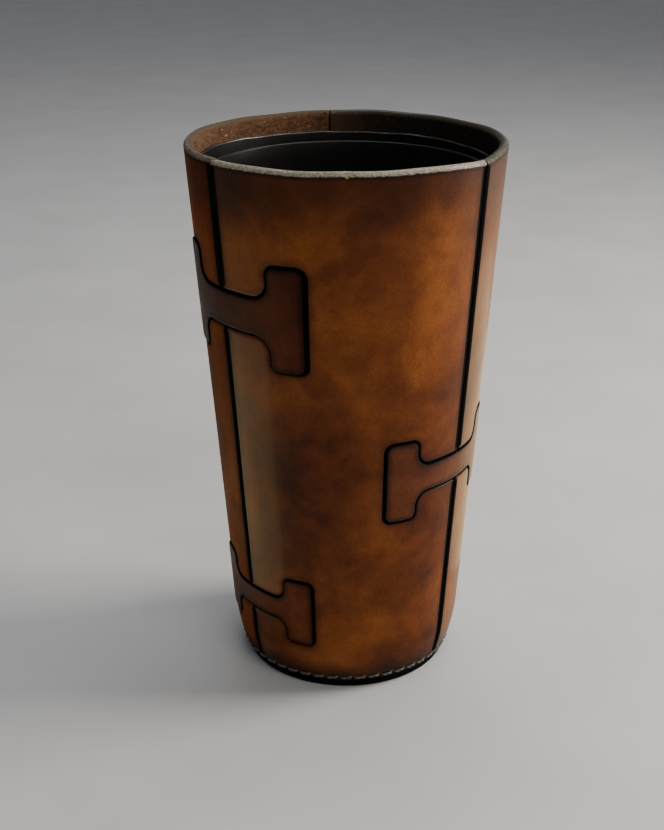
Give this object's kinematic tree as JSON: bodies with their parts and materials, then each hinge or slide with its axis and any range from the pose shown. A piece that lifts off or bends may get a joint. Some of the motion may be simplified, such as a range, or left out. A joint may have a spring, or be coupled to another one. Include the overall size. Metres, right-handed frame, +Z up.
{
  "type": "dice cup",
  "caption": "Tall tapered leather cup for shaking and rolling dice, with butted wall panels locked by inlaid keys, a stitched base and a recessed black liner.",
  "frame": {"origin": "centre of the flat underside of the base, where the cup stands on the table", "axes": "+Z up along the cup's axis from the base to the mouth; -Y faces the front panel, which carries the front halves of the keys; +X to the right seen from the front"},
  "size_m": [0.094, 0.094, 0.166],
  "materials": {
    "wall_leather": "antiqued, satin",
    "key_leather": "antiqued, satin",
    "black_lining": "matte with a glossy cut edge",
    "liner_plastic": "semi-gloss",
    "felt_pad": "napped felt",
    "base_leather": "matte",
    "waxed_thread": "waxed"
  },
  "bodies": {
    "root": {"front_panel": "wall_leather", "left_panel": "wall_leather", "right_panel": "wall_leather", "upper_left_key": "key_leather", "lower_left_key": "key_leather", "right_key": "key_leather", "upper_back_key": "key_leather", "lower_back_key": "key_leather", "lining_sleeve": "black_lining", "liner_cup": "liner_plastic", "floor_pad": "felt_pad", "base_disc": "base_leather", "base_stitching": "waxed_thread"}
  },
  "joints": []
}
